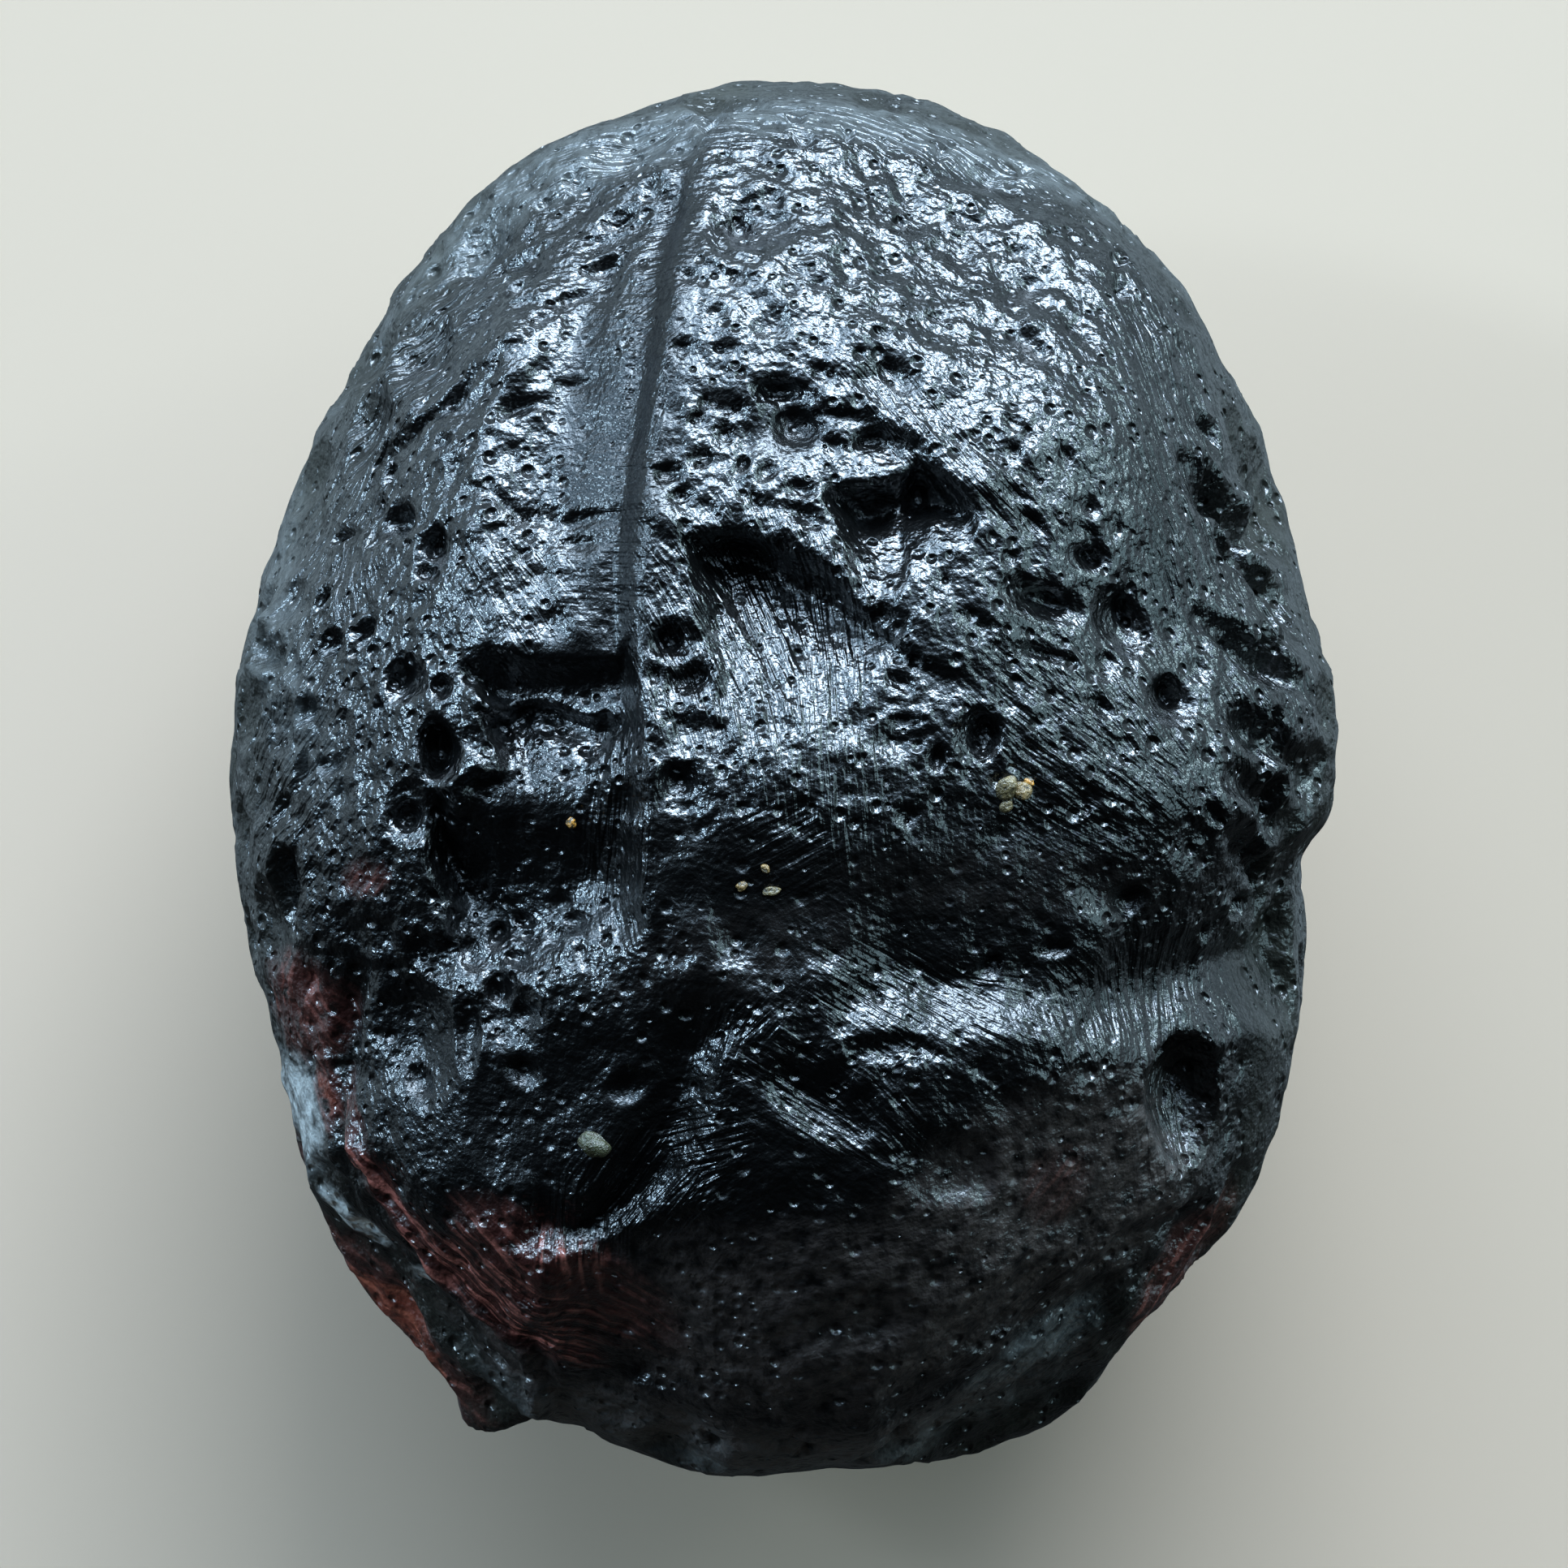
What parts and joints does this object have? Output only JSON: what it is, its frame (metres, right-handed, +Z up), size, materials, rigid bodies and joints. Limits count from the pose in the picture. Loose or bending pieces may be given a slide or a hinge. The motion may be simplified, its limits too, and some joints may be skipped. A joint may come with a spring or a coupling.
{
  "type": "tektite",
  "caption": "Egg-shaped pebble of natural black glass, etched with pits, a smooth flute, grooves, scarps and flow lines, lying on a small flat spot.",
  "frame": {"origin": "on the surface that the stone rests on, under the middle of its bounding box", "axes": "+Z up out of the flat spot, +Y along the stone's length towards its narrow end, +X across it"},
  "size_m": [0.038, 0.048, 0.031],
  "materials": {
    "natural_glass": "opaque black natural glass, etched: glossy in the hollows and the flow lines, satin on the worn rim, with rust-brown stain in places"
  },
  "bodies": {
    "root": {"tektite": "natural_glass"}
  },
  "joints": []
}
